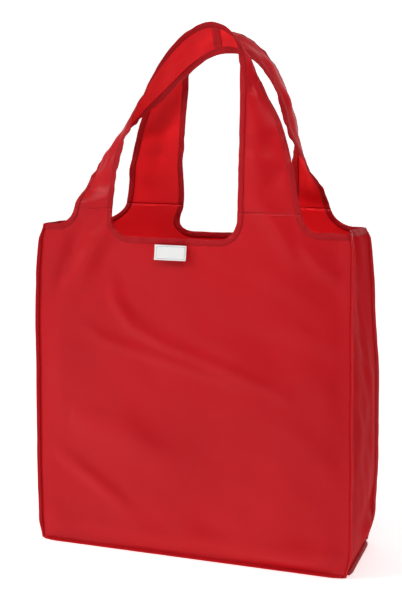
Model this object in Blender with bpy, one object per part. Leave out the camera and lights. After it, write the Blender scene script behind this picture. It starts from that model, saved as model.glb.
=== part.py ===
"""Foldable tote bag: fabric panels, folding side gussets, bound edges and two twisted strap handles.

Metres, +Z up. The bag stands on z = 0, its front panel faces -Y, and the origin is under its middle.
The back is the front turned half a turn about Z, as both panels are cut from one pattern.
"""
import math

import bmesh
import bpy
from mathutils import Matrix, Vector

# Driving dimensions
WIDTH = 0.380  # between the side gussets
DEPTH = 0.120  # front to back at the base
RIM_DEPTH = 0.075  # front to back at the rim, where the bag is pinched in
HEM = 0.380  # height of the rim at the shoulders
FABRIC = 0.0008  # thickness of one layer of coated cloth
BINDING = 0.0065  # width of the tape folded over every open edge
BOUND = 0.0016  # thickness of a bound edge
GAP = 0.0003  # gap between pieces that touch
SEAM = 0.0055  # width of a pinched, edge-stitched seam
SEAM_THICK = 0.0015
CORNER_GAP = 0.0012  # how far the cloth stops short of a corner line
LIFT = 0.0019  # cloth starts this high, above the base seams

# Opening between the straps, and the shoulders beside them, in the panel's own plane
SCOOP = 0.368  # lowest point of the scooped rim
SCOOP_LEFT = -0.101
SCOOP_RIGHT = 0.050
SCOOP_RADIUS = 0.022
ROOT = 0.400  # height where the strap roots begin
ROOT_OUTER_LEFT = -0.148
ROOT_OUTER_RIGHT = 0.1225
SHOULDER_TURN = math.radians(75.0)

# Hinge places
CORNER_PIVOT = 0.0022  # gusset hinges lie this far behind the panels
CREASE_PIVOT = 0.0011  # the gusset's middle crease turns this far outside its cloth
BASE_PIVOT = 0.0020  # base hinge, behind the front panel
LEAN_HEIGHT = 0.3995  # strap roots lean from here
FOLD_HEIGHT = 0.446  # handles fold over from here
FOLD_OUT = 0.010  # and this far outside the panel

# Label
LABEL_WIDTH = 0.038
LABEL_HEIGHT = 0.017
LABEL_THICK = 0.0005
LABEL_X = -0.026
LABEL_TOP = 0.3608
LABEL_OUT = 0.0012

# Base: one half of the lifting panel's outline, across and back, cut so that it clears the folding gussets
BASE_BACK_GAP = 0.007
BASE_NEAR_CORNER = 0.1800
BASE_SHOULDER = (0.1765, -0.0463)
BASE_WAIST = (0.1355, 0.0080)
PLEAT_CLEAR = 0.0012
SIDE_SEAM_SHORT = 0.008

# The strap's two edges from the left root over the top to the right root, seen from outside.
# Each station is the inner edge and the outer edge: across, out of the panel's plane, up.
STATIONS = [
    ((-0.1010, 0.0, 0.4000), (-0.1480, 0.0000, 0.4000)),
    ((-0.0985, 0.0, 0.4200), (-0.1420, -0.0160, 0.4210)),
    ((-0.0950, 0.0, 0.4450), (-0.1310, -0.0280, 0.4470)),
    ((-0.0890, 0.0, 0.4700), (-0.1180, -0.0350, 0.4680)),
    ((-0.0780, 0.0, 0.4970), (-0.1000, -0.0380, 0.4860)),
    ((-0.0640, 0.0, 0.5280), (-0.0790, -0.0360, 0.5050)),
    ((-0.0520, 0.0, 0.5520), (-0.0530, -0.0300, 0.5250)),
    ((-0.0370, 0.0, 0.5740), (-0.0310, -0.0240, 0.5420)),
    ((-0.0180, 0.0, 0.5930), (-0.0110, -0.0200, 0.5580)),
    ((0.0030, 0.0, 0.6050), (0.0040, -0.0180, 0.5680)),
    ((0.0190, 0.0, 0.6060), (0.0190, -0.0170, 0.5740)),
    ((0.0330, 0.0, 0.6000), (0.0340, -0.0170, 0.5750)),
    ((0.0430, 0.0, 0.5880), (0.0500, -0.0170, 0.5690)),
    ((0.0485, 0.0, 0.5680), (0.0630, -0.0160, 0.5520)),
    ((0.0500, 0.0, 0.5400), (0.0760, -0.0140, 0.5290)),
    ((0.0505, 0.0, 0.5050), (0.0935, -0.0100, 0.5000)),
    ((0.0505, 0.0, 0.4650), (0.1070, -0.0030, 0.4630)),
    ((0.0505, 0.0, 0.4300), (0.1150, 0.0000, 0.4300)),
    ((0.0500, 0.0, 0.4000), (0.1225, 0.0000, 0.4000)),
]
LEFT_FOLD = 2.0  # the station where the left leg meets the handle's fold line
RIGHT_FOLD = 16.5
JOIN = 10.0  # the station where the two straps are sewn end to end
JOIN_HALF = 0.25  # half the width of that seam, in stations
JOIN_SLIT = 0.02
STEPS_PER_STATION = 4
ROOT_START = 0.03  # the roots begin just past the first station
FOLD_SLIT = 0.015

# Colours
RED = (0.56, 0.012, 0.02, 1.0)
DARK_RED = (0.38, 0.010, 0.016, 1.0)
WHITE = (0.85, 0.85, 0.84, 1.0)

LEAN = math.atan2((DEPTH - RIM_DEPTH) / 2.0, HEM)
HALF_W = WIDTH / 2.0
HALF_D = DEPTH / 2.0


def clear_scene():
    for obj in list(bpy.data.objects):
        bpy.data.objects.remove(obj, do_unlink=True)


def material(name, colour, roughness):
    mat = bpy.data.materials.new(name)
    mat.use_nodes = True
    shader = mat.node_tree.nodes["Principled BSDF"]
    shader.inputs["Base Color"].default_value = colour
    shader.inputs["Roughness"].default_value = roughness
    shader.inputs["Metallic"].default_value = 0.0
    return mat


def on_panel(x, out, up):
    """A point given in the front panel's own leaning plane, as a place in space."""
    return Vector((
        x,
        -HALF_D + up * math.sin(LEAN) - out * math.cos(LEAN),
        up * math.cos(LEAN) + out * math.sin(LEAN),
    ))


def panel_y(z):
    return -HALF_D + z * math.tan(LEAN)


HALF_TURN = Matrix.Rotation(math.pi, 4, "Z")
SIDES = {"front": Matrix.Identity(4), "back": HALF_TURN}


def pivots():
    """Each moving group's empty stands on its joint's axis."""
    places = {"front": Vector((0.0, -HALF_D, 0.0)), "back": Vector((HALF_W, HALF_D - CORNER_PIVOT, 0.0))}
    places["base"] = Vector((0.0, -HALF_D + BASE_PIVOT, FABRIC / 2.0))
    places["label"] = on_panel(LABEL_X, LABEL_OUT, LABEL_TOP)
    for side, turn in SIDES.items():
        places[side + "_roots"] = turn @ on_panel(0.0, 0.0, LEAN_HEIGHT)
        places[side + "_handle"] = turn @ on_panel(0.0, FOLD_OUT, FOLD_HEIGHT)
    for name, sign in (("right", 1.0), ("left", -1.0)):
        places[name + "_gusset_front"] = Vector((sign * HALF_W, -HALF_D + CORNER_PIVOT, 0.0))
        places[name + "_gusset_back"] = Vector((sign * (HALF_W + CREASE_PIVOT), 0.0, 0.0))
    return places


def make_empties():
    empties = {}
    for name, place in pivots().items():
        empty = bpy.data.objects.new("axis_" + name, None)
        empty.location = place
        empty.empty_display_size = 0.02
        bpy.context.collection.objects.link(empty)
        empties[name] = empty
    return empties


def add_piece(name, group, mesh, colour=RED, roughness=0.45, turn=None):
    """Make one named solid from a bmesh, with its origin on its group's axis."""
    if turn is not None:
        mesh.transform(turn)
    mesh.transform(Matrix.Translation(-EMPTIES[group].location))
    bmesh.ops.recalc_face_normals(mesh, faces=mesh.faces)
    if mesh.calc_volume(signed=True) < 0.0:
        bmesh.ops.reverse_faces(mesh, faces=mesh.faces)
    data = bpy.data.meshes.new(name)
    mesh.to_mesh(data)
    mesh.free()
    data.materials.append(material(name, colour, roughness))
    obj = bpy.data.objects.new(name, data)
    bpy.context.collection.objects.link(obj)
    obj.parent = EMPTIES[group]
    return obj


def slab(outline, thickness_way):
    """A flat plate: an outline of points, thickened by half of a vector each way."""
    mesh = bmesh.new()
    near = [mesh.verts.new(p - thickness_way / 2.0) for p in outline]
    far = [mesh.verts.new(p + thickness_way / 2.0) for p in outline]
    mesh.faces.new(list(reversed(near)))
    mesh.faces.new(far)
    count = len(outline)
    for n in range(count):
        after = (n + 1) % count
        mesh.faces.new((near[n], near[after], far[after], far[n]))
    bmesh.ops.triangulate(mesh, faces=[f for f in mesh.faces if len(f.verts) > 4])
    return mesh


def strip(first, second, thickness):
    """A ribbon between two edges with the same number of points, thickened about its middle."""
    mesh = bmesh.new()
    rows = []
    count = len(first)
    for n in range(count):
        before, after = max(n - 1, 0), min(n + 1, count - 1)
        along = (first[after] + second[after]) - (first[before] + second[before])
        normal = along.cross(second[n] - first[n]).normalized() * (thickness / 2.0)
        corners = (first[n] + normal, second[n] + normal, second[n] - normal, first[n] - normal)
        rows.append([mesh.verts.new(p) for p in corners])
    for here, there in zip(rows, rows[1:]):
        for k in range(4):
            after = (k + 1) % 4
            mesh.faces.new((here[k], here[after], there[after], there[k]))
    mesh.faces.new(list(reversed(rows[0])))
    mesh.faces.new(rows[-1])
    bmesh.ops.triangulate(mesh, faces=mesh.faces)
    return mesh


def smooth_point(points, t):
    """Catmull-Rom curve through the points, at station t."""
    last = len(points) - 1
    k = min(int(t), last - 1)
    f = t - k
    p0 = points[max(k - 1, 0)]
    p1, p2 = points[k], points[k + 1]
    p3 = points[min(k + 2, last)]
    return (
        p1 * 2.0 + (p2 - p0) * f
        + (p0 * 2.0 - p1 * 5.0 + p2 * 4.0 - p3) * f * f
        + (p1 * 3.0 - p0 - p2 * 3.0 + p3) * f * f * f
    ) * 0.5


INNER = [Vector(station[0]) for station in STATIONS]
OUTER = [Vector(station[1]) for station in STATIONS]


def strap_steps(start, end):
    """The stretch's ends and every whole step between them, so that neighbours share their facets."""
    low, high = math.floor(start * STEPS_PER_STATION) + 1, math.ceil(end * STEPS_PER_STATION)
    return [start] + [n / STEPS_PER_STATION for n in range(low, high)] + [end]


def strap_edges(start, end, from_inner=None, from_outer=None):
    """Two edges of a band cut from the strap, set in from its inner and outer edges."""
    first, second = [], []
    for t in strap_steps(start, end):
        inner, outer = smooth_point(INNER, t), smooth_point(OUTER, t)
        across = (outer - inner).normalized()
        if from_inner is not None:
            low, high = inner + across * from_inner[0], inner + across * from_inner[1]
        elif from_outer is not None:
            low, high = outer - across * from_outer[1], outer - across * from_outer[0]
        else:
            low = inner + across * (BINDING + GAP)
            high = outer - across * (BINDING + GAP)
        first.append(on_panel(*low))
        second.append(on_panel(*high))
    return first, second


TAPE = (0.0, BINDING)


def arc(centre_x, centre_up, radius, start, end, steps=8):
    points = []
    for n in range(steps + 1):
        angle = start + (end - start) * n / steps
        points.append((centre_x + radius * math.cos(angle), centre_up + radius * math.sin(angle)))
    return points


def scoop_line(inset):
    """The scooped rim from its left end down and round to its right end, set into the cloth."""
    radius = SCOOP_RADIUS + inset
    low = SCOOP + SCOOP_RADIUS
    top = ROOT - GAP * 2.0
    left = arc(SCOOP_LEFT + SCOOP_RADIUS, low, radius, math.pi, math.pi * 1.5)
    right = arc(SCOOP_RIGHT - SCOOP_RADIUS, low, radius, math.pi * 1.5, math.pi * 2.0)
    return [(SCOOP_LEFT - inset, top)] + left + right + [(SCOOP_RIGHT + inset, top)]


def shoulder_line(sign, root_x, inset):
    """A shoulder from the side seam along the hem and up to the strap root."""
    rise = ROOT - GAP * 2.0 - HEM
    radius = rise / (1.0 - math.cos(SHOULDER_TURN))
    centre_x = root_x + sign * radius * math.sin(SHOULDER_TURN)
    start = -math.pi / 2.0
    points = [(sign * (HALF_W - CORNER_GAP), HEM - inset)]
    for x, up in arc(0.0, 0.0, radius + inset, start, start + SHOULDER_TURN):
        points.append((centre_x - sign * x, HEM + radius + up))
    return points


def lift_to_space(points):
    return [on_panel(x, 0.0, up) for x, up in points]


def make_panel(side, turn):
    inset = BINDING + GAP
    left = shoulder_line(-1.0, ROOT_OUTER_LEFT, inset)
    right = shoulder_line(1.0, ROOT_OUTER_RIGHT, inset)
    edge = HALF_W - CORNER_GAP
    outline = [(edge, LIFT)] + right + list(reversed(scoop_line(inset))) + list(reversed(left))
    outline.append((-edge, LIFT))
    thickness = on_panel(0.0, FABRIC, 0.0) - on_panel(0.0, 0.0, 0.0)
    add_piece(side + "_panel", side, slab(lift_to_space(outline), thickness), turn=turn)


def make_rim_bindings(side, turn):
    edge, inner = lift_to_space(scoop_line(0.0)), lift_to_space(scoop_line(BINDING))
    add_piece(side + "_scoop_binding", side, strip(edge, inner, BOUND), DARK_RED, turn=turn)
    for name, sign, root_x in (("left", -1.0, ROOT_OUTER_LEFT), ("right", 1.0, ROOT_OUTER_RIGHT)):
        edge = lift_to_space(shoulder_line(sign, root_x, 0.0))
        inner = lift_to_space(shoulder_line(sign, root_x, BINDING))
        piece = strip(edge, inner, BOUND)
        add_piece(side + "_shoulder_binding_" + name, side, piece, DARK_RED, turn=turn)


def make_strap_roots(side, turn):
    group = side + "_roots"
    last = len(STATIONS) - 1
    spans = (
        ("left", ROOT_START, LEFT_FOLD - FOLD_SLIT),
        ("right", RIGHT_FOLD + FOLD_SLIT, last - ROOT_START),
    )
    for name, start, end in spans:
        cloth = strip(*strap_edges(start, end), FABRIC)
        add_piece(side + "_strap_root_" + name, group, cloth, turn=turn)
        inner = strip(*strap_edges(start, end, from_inner=TAPE), BOUND)
        add_piece(side + "_root_inner_binding_" + name, group, inner, DARK_RED, turn=turn)
        outer = strip(*strap_edges(start, end, from_outer=TAPE), BOUND)
        add_piece(side + "_root_outer_binding_" + name, group, outer, DARK_RED, turn=turn)


def make_handle(side, turn):
    group = side + "_handle"
    start, end = LEFT_FOLD + FOLD_SLIT, RIGHT_FOLD - FOLD_SLIT
    join = JOIN_HALF - JOIN_SLIT
    left = strip(*strap_edges(start, JOIN - JOIN_HALF), FABRIC)
    right = strip(*strap_edges(JOIN + JOIN_HALF, end), FABRIC)
    add_piece(side + "_strap_left", group, left, turn=turn)
    add_piece(side + "_strap_right", group, right, turn=turn)
    seam = strip(*strap_edges(JOIN - join, JOIN + join), BOUND)
    add_piece(side + "_handle_seam", group, seam, turn=turn)
    inner = strip(*strap_edges(start, end, from_inner=TAPE), BOUND)
    add_piece(side + "_handle_inner_binding", group, inner, DARK_RED, turn=turn)
    outer = strip(*strap_edges(start, end, from_outer=TAPE), BOUND)
    add_piece(side + "_handle_outer_binding", group, outer, DARK_RED, turn=turn)


def make_gusset(name, sign):
    """One side gusset: a front and a back half that meet at a pressed crease, with a bound hem."""
    x = sign * HALF_W
    top = HEM * math.cos(LEAN)
    cloth_top = top - BINDING - GAP
    for half, turn in (("front", None), ("back", Matrix.Scale(-1.0, 4, (0.0, 1.0, 0.0)))):
        group = name + "_gusset_" + half
        cloth = [
            Vector((x, panel_y(z) + CORNER_GAP, z)) for z in (LIFT, cloth_top)
        ] + [Vector((x, -GAP, z)) for z in (cloth_top, LIFT)]
        tape = [
            Vector((x, panel_y(z) + CORNER_GAP, z)) for z in (cloth_top + GAP, top)
        ] + [Vector((x, -GAP, z)) for z in (top, cloth_top + GAP)]
        add_piece(group, group, slab(cloth, Vector((FABRIC, 0.0, 0.0))), turn=turn)
        binding = slab(tape, Vector((BOUND, 0.0, 0.0)))
        add_piece(name + "_hem_binding_" + half, group, binding, DARK_RED, turn=turn)


def make_corner_seam(side, name, sign, turn):
    """A pinched seam that stands out from an upright corner, half way between its two panels."""
    outward = Vector((sign, -1.0, 0.0)).normalized()
    reach = GAP, GAP + SEAM
    bottom, top = Vector((sign * HALF_W, panel_y(LIFT), LIFT)), on_panel(sign * HALF_W, 0.0, HEM)
    first = [bottom + outward * reach[0], top + outward * reach[0]]
    second = [bottom + outward * reach[1], top + outward * reach[1]]
    add_piece(side + "_corner_seam_" + name, side, strip(first, second, SEAM_THICK), turn=turn)


def box(low, high):
    corners = [(low[0], low[1]), (high[0], low[1]), (high[0], high[1]), (low[0], high[1])]
    middle = (low[2] + high[2]) / 2.0
    return slab([Vector((x, y, middle)) for x, y in corners], Vector((0.0, 0.0, high[2] - low[2])))


def make_base():
    """The bottom: a panel that folds up, a loose pleat at each end, and the seams round it."""
    start, end = -HALF_D + BASE_PIVOT + GAP, HALF_D - BASE_BACK_GAP
    half = [(BASE_NEAR_CORNER, start), BASE_SHOULDER, BASE_WAIST, (BASE_WAIST[0], end)]
    outline = half + [(-x, y) for x, y in reversed(half)]
    flat = [Vector((x, y, FABRIC / 2.0)) for x, y in outline]
    add_piece("base_panel", "base", slab(flat, Vector((0.0, 0.0, FABRIC))))

    edge = HALF_W - CORNER_GAP
    for name, sign in (("right", 1.0), ("left", -1.0)):
        pleat = [(x + PLEAT_CLEAR, y) for x, y in half] + [(edge, end), (edge, start)]
        flat = [Vector((sign * x, y, GAP + FABRIC / 2.0)) for x, y in pleat]
        add_piece("base_pleat_" + name, "base", slab(flat, Vector((0.0, 0.0, FABRIC))))
        inner, outer = HALF_W - GAP * 2.0, HALF_W + SEAM
        low_x, high_x = min(sign * inner, sign * outer), max(sign * inner, sign * outer)
        long = HALF_D - SIDE_SEAM_SHORT
        seam = box((low_x, -long, GAP), (high_x, long, SEAM_THICK))
        add_piece("base_side_seam_" + name, "base", seam)
    front_seam = box((-edge, -HALF_D - SEAM, 0.0), (edge, -HALF_D + CORNER_GAP, SEAM_THICK))
    add_piece("front_base_seam", "front", front_seam)
    back_seam = box((-edge, end + GAP * 2.0, 0.0), (edge, HALF_D + SEAM, SEAM_THICK))
    add_piece("back_base_seam", "back", back_seam)


def make_label():
    left, right = LABEL_X - LABEL_WIDTH / 2.0, LABEL_X + LABEL_WIDTH / 2.0
    corners = [(left, LABEL_TOP - LABEL_HEIGHT), (right, LABEL_TOP - LABEL_HEIGHT)]
    corners += [(right, LABEL_TOP), (left, LABEL_TOP)]
    outline = [on_panel(x, LABEL_OUT, up) for x, up in corners]
    thickness = on_panel(0.0, LABEL_THICK, 0.0) - on_panel(0.0, 0.0, 0.0)
    add_piece("label", "label", slab(outline, thickness), WHITE, 0.6)


clear_scene()
EMPTIES = make_empties()
for side_name, side_turn in SIDES.items():
    make_panel(side_name, side_turn)
    make_rim_bindings(side_name, side_turn)
    make_strap_roots(side_name, side_turn)
    make_handle(side_name, side_turn)
    for corner_name, corner_sign in (("left", -1.0), ("right", 1.0)):
        make_corner_seam(side_name, corner_name, corner_sign, side_turn)
for gusset_name, gusset_sign in (("right", 1.0), ("left", -1.0)):
    make_gusset(gusset_name, gusset_sign)
make_base()
make_label()
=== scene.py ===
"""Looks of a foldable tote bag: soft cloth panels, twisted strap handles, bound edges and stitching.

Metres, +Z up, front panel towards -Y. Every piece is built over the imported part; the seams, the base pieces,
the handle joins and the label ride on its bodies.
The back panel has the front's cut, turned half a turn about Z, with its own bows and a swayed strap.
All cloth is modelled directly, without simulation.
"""
import math
import bmesh
import bpy
from mathutils import Matrix, Vector, noise
from mathutils.geometry import delaunay_2d_cdt


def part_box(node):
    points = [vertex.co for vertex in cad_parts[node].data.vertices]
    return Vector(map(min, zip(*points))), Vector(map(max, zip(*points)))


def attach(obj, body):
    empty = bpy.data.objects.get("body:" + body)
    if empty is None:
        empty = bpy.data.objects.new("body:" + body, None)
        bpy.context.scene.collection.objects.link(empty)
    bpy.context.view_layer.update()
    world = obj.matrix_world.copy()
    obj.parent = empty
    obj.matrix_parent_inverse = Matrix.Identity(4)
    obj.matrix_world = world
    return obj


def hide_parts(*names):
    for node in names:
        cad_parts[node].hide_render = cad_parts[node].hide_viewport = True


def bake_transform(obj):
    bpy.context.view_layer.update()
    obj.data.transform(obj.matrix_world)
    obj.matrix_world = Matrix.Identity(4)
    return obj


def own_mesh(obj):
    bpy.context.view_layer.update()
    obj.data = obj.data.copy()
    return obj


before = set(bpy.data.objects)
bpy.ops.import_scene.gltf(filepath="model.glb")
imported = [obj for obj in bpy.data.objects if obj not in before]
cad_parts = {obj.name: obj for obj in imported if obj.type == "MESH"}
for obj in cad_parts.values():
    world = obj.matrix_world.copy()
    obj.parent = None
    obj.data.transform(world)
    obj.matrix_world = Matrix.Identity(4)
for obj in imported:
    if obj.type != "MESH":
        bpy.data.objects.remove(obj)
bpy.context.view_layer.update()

bl_info = {
    "name": "Foldable Tote Bag",
    "version": (1, 0, 0),
    "blender": (4, 5, 0),
    "location": "View3D > Sidebar > Tote Bag",
    "description": "Builds a soft folding tote bag, piece by piece, over its packed part",
    "category": "Object",
}

# The panel's cut, in its own leaning plane
HALF_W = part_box("right_gusset_front")[0].x + 0.0004
DEPTH = 0.120
RIM_DEPTH = 0.075
HEM = 0.380
LEAN = math.atan2((DEPTH - RIM_DEPTH) / 2.0, HEM)
HALF_D = DEPTH / 2.0
ROOT = 0.400
SCOOP = 0.368
SCOOP_LEFT = -0.101
SCOOP_RIGHT = 0.050
SCOOP_RADIUS = 0.022
ROOT_OUTER_LEFT = -0.148
ROOT_OUTER_RIGHT = 0.1225
SHOULDER_TURN = math.radians(75.0)

# The strap's inner and outer edges from the left root over the top to the right root: across, out, up
STATIONS = [
    ((-0.1010, 0.0, 0.4000), (-0.1480, 0.0000, 0.4000)),
    ((-0.0985, 0.0, 0.4200), (-0.1420, -0.0160, 0.4210)),
    ((-0.0950, 0.0, 0.4450), (-0.1310, -0.0280, 0.4470)),
    ((-0.0890, 0.0, 0.4700), (-0.1180, -0.0350, 0.4680)),
    ((-0.0780, 0.0, 0.4970), (-0.1000, -0.0380, 0.4860)),
    ((-0.0640, 0.0, 0.5280), (-0.0790, -0.0360, 0.5050)),
    ((-0.0520, 0.0, 0.5520), (-0.0530, -0.0300, 0.5250)),
    ((-0.0370, 0.0, 0.5740), (-0.0310, -0.0240, 0.5420)),
    ((-0.0180, 0.0, 0.5930), (-0.0110, -0.0200, 0.5580)),
    ((0.0030, 0.0, 0.6050), (0.0040, -0.0180, 0.5680)),
    ((0.0190, 0.0, 0.6060), (0.0190, -0.0170, 0.5740)),
    ((0.0330, 0.0, 0.6000), (0.0340, -0.0170, 0.5750)),
    ((0.0430, 0.0, 0.5880), (0.0500, -0.0170, 0.5690)),
    ((0.0485, 0.0, 0.5680), (0.0630, -0.0160, 0.5520)),
    ((0.0500, 0.0, 0.5400), (0.0760, -0.0140, 0.5290)),
    ((0.0505, 0.0, 0.5050), (0.0935, -0.0100, 0.5000)),
    ((0.0505, 0.0, 0.4650), (0.1070, -0.0030, 0.4630)),
    ((0.0505, 0.0, 0.4300), (0.1150, 0.0000, 0.4300)),
    ((0.0500, 0.0, 0.4000), (0.1225, 0.0000, 0.4000)),
]
LAST = len(STATIONS) - 1
JOIN = 10.0  # where the two straps are sewn end to end
# How far the strap cups outwards, station by station
CUP = (0.0, 0.003, 0.005, 0.006, 0.006, 0.005, 0.004, 0.004, 0.003, 0.002,
       0.001, 0.002, 0.003, 0.004, 0.005, 0.005, 0.004, 0.002, 0.0)

# The back strap's edges in the same order, swayed and turned edge-on where it passes behind the front one
BACK_STATIONS = [
    ((-0.1010, 0.0, 0.4000), (-0.1480, 0.0000, 0.4000)),
    ((-0.0970, 0.0, 0.4200), (-0.1360, -0.0100, 0.4210)),
    ((-0.0940, 0.0, 0.4450), (-0.1190, -0.0220, 0.4470)),
    ((-0.0960, 0.0, 0.4700), (-0.1090, -0.0320, 0.4680)),
    ((-0.0970, 0.0, 0.4970), (-0.0985, -0.0360, 0.4870)),
    ((-0.0880, 0.0, 0.5280), (-0.0900, -0.0360, 0.5190)),
    ((-0.0770, 0.0, 0.5520), (-0.0785, -0.0340, 0.5440)),
    ((-0.0600, 0.0, 0.5780), (-0.0605, -0.0320, 0.5650)),
    ((-0.0360, 0.0, 0.5950), (-0.0375, -0.0300, 0.5810)),
    ((-0.0120, 0.0, 0.6010), (-0.0120, -0.0280, 0.5830)),
    ((0.0050, 0.0, 0.5990), (0.0060, -0.0260, 0.5820)),
    ((0.0190, 0.0, 0.5920), (0.0210, -0.0240, 0.5780)),
    ((0.0280, 0.0, 0.5790), (0.0360, -0.0220, 0.5660)),
    ((0.0300, 0.0, 0.5600), (0.0540, -0.0190, 0.5490)),
    ((0.0310, 0.0, 0.5350), (0.0710, -0.0150, 0.5270)),
    ((0.0350, 0.0, 0.5030), (0.0870, -0.0100, 0.4980)),
    ((0.0385, 0.0, 0.4650), (0.1000, -0.0030, 0.4630)),
    ((0.0425, 0.0, 0.4300), (0.1110, 0.0000, 0.4300)),
    ((0.0500, 0.0, 0.4000), (0.1225, 0.0000, 0.4000)),
]
BACK_DRAW = 0.010  # how far the back panel's roots are drawn in by its swayed strap

# How far each upright corner stands outwards at a height, seen from outside its own panel
BOWS = {
    ("front", -1): ((0.0, -0.0050), (0.03, -0.0025), (0.10, 0.0), (0.20, 0.0015), (0.27, 0.0030),
                    (0.32, 0.0024), (0.36, 0.0), (0.38, -0.0045), (0.40, 0.0)),
    ("front", 1): ((0.0, -0.0055), (0.03, -0.0015), (0.10, -0.0030), (0.20, -0.0062), (0.30, -0.0092),
                   (0.36, -0.0105), (0.38, -0.0125), (0.40, 0.0)),
    ("back", -1): ((0.0, -0.0055), (0.04, 0.0010), (0.10, 0.0035), (0.20, 0.0030), (0.30, -0.0030),
                   (0.366, -0.0073), (0.38, -0.0110), (0.40, 0.0)),
    ("back", 1): ((0.0, -0.0050), (0.04, -0.0010), (0.10, 0.0020), (0.20, 0.0030), (0.30, 0.0),
                  (0.36, -0.0040), (0.38, -0.0080), (0.40, 0.0)),
}
BOW_START = 0.085  # the panel's cloth takes up a corner's bow from here outwards

# Soft folds pressed into the front panel: line of points across and up, height, width
FOLDS = [
    (((-0.100, 0.325), (-0.093, 0.293), (-0.072, 0.266), (-0.030, 0.247), (0.059, 0.218), (0.110, 0.198)),
     0.0044, 0.0080),
    (((-0.135, 0.262), (-0.104, 0.247), (-0.052, 0.235), (0.007, 0.220), (0.075, 0.204)),
     0.0038, 0.0070),
    (((-0.150, 0.160), (-0.126, 0.152), (-0.074, 0.137), (0.015, 0.098)), 0.0060, 0.0210),
    (((-0.178, 0.118), (-0.120, 0.079), (-0.066, 0.042)), 0.0042, 0.0100),
    (((0.030, 0.274), (0.101, 0.254), (0.185, 0.239)), -0.0030, 0.0150),
    (((0.060, 0.430), (0.097, 0.385), (0.122, 0.345)), 0.0040, 0.0110),
    (((-0.140, 0.380), (-0.152, 0.340), (-0.176, 0.300)), -0.0034, 0.0120),
    (((-0.090, 0.392), (-0.118, 0.362), (-0.150, 0.300)), 0.0034, 0.0120),
    (((0.120, 0.372), (0.150, 0.345), (0.180, 0.332)), 0.0030, 0.0090),
]
BACK_FOLDS = FOLDS[2:5]  # the few of them that the back panel shows too

# Half the base panel's width from its front edge back, and how its folds sit beside it
BASE_OUTLINE = ((-HALF_D, 0.1803), (-0.0463, 0.1765), (0.0080, 0.1355), (HALF_D, 0.1355))
BASE_FOLD_GAP = 0.0010
BASE_FOLD_END = 0.0050

# The stage: a floor that sweeps up into a backdrop, and its lights (place, target, size, power)
FLOOR_FRONT = -0.9
SWEEP_START = 2.2
SWEEP_RADIUS = 1.2
BACKDROP_TOP = 7.0
FLOOR_HALF = 4.0
FLOOR_GLOW = 0.60
SKY_STRENGTH = 0.16
LIGHTS = {
    "key": ((-2.0, -1.2, 1.7), (0.0, 0.0, 0.28), (0.9, 0.9), 30.0),
    "low": ((-1.0, -1.9, 0.30), (0.0, 0.0, 0.25), (0.9, 0.5), 4.5),
    "top": ((0.3, -0.5, 2.6), (0.0, 0.0, 0.4), (1.2, 0.8), 9.0),
    "strap": ((0.55, -0.95, 1.75), (0.085, -0.04, 0.49), (0.2, 0.2), 0.13),
}
STRAP_LIGHT_SPREAD = math.radians(18.0)

HALF_TURN = Matrix.Rotation(math.pi, 4, "Z")
SIDES = {"front": Matrix.Identity(4), "back": HALF_TURN}
CAMERA_PLACE = Vector((0.4285, -1.2483, 0.5166))
CAMERA_TURN = math.radians(19.16)
CAMERA_DOWN = math.radians(9.64)
CAMERA_LENS = 69.04


# ---------------------------------------------------------------- settings


class ToteSizes(bpy.types.PropertyGroup):
    """Sizes of the soft pieces."""

    cloth: bpy.props.FloatProperty(
        name="Cloth", description="Thickness of the coated cloth", default=0.0005, unit="LENGTH"
    )
    tape_width: bpy.props.FloatProperty(
        name="Tape width", description="Width of the edge tape once folded", default=0.0065, unit="LENGTH"
    )
    tape_half: bpy.props.FloatProperty(
        name="Tape half", description="Half of a bound edge's thickness", default=0.00075, unit="LENGTH"
    )
    mesh_step: bpy.props.FloatProperty(
        name="Mesh step", description="Spacing of the cloth mesh", default=0.0032, unit="LENGTH"
    )
    belly: bpy.props.FloatProperty(
        name="Belly", description="How far a panel pillows outwards", default=0.0045, unit="LENGTH"
    )
    stitch: bpy.props.FloatProperty(
        name="Stitch", description="Spacing of the stitches", default=0.0028, unit="LENGTH"
    )


class ToteColours(bpy.types.PropertyGroup):
    """Colours of the soft pieces and of the stage."""

    cloth: bpy.props.FloatVectorProperty(
        name="Cloth", description="Outer face of the cloth", subtype="COLOR", size=4,
        default=(0.560, 0.0060, 0.0115, 1.0),
    )
    # Lighter than the outer face: partly the inner face's own shade, partly painted light standing in for
    # light glowing through the cloth
    inside: bpy.props.FloatVectorProperty(
        name="Inside", description="Inner face of the cloth", subtype="COLOR", size=4,
        default=(0.920, 0.0100, 0.0160, 1.0),
    )
    tape: bpy.props.FloatVectorProperty(
        name="Tape", description="Edge tape", subtype="COLOR", size=4,
        default=(0.470, 0.0055, 0.0105, 1.0),
    )
    thread: bpy.props.FloatVectorProperty(
        name="Thread", description="Sewing thread", subtype="COLOR", size=4,
        default=(0.420, 0.008, 0.014, 1.0),
    )
    label: bpy.props.FloatVectorProperty(
        name="Label", description="Woven label", subtype="COLOR", size=4, default=(0.70, 0.70, 0.69, 1.0)
    )
    floor: bpy.props.FloatVectorProperty(
        name="Floor", description="Pale floor", subtype="COLOR", size=4, default=(0.90, 0.90, 0.90, 1.0)
    )


def sizes():
    return bpy.context.scene.tote_sizes


def colours():
    return bpy.context.scene.tote_colours


# ---------------------------------------------------------------- materials


def add_node(tree, kind, **values):
    """A shader node with its sockets or settings filled in."""
    node = tree.nodes.new(kind)
    for key, value in values.items():
        if key in node.inputs:
            node.inputs[key].default_value = value
        else:
            setattr(node, key, value)
    return node


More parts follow.
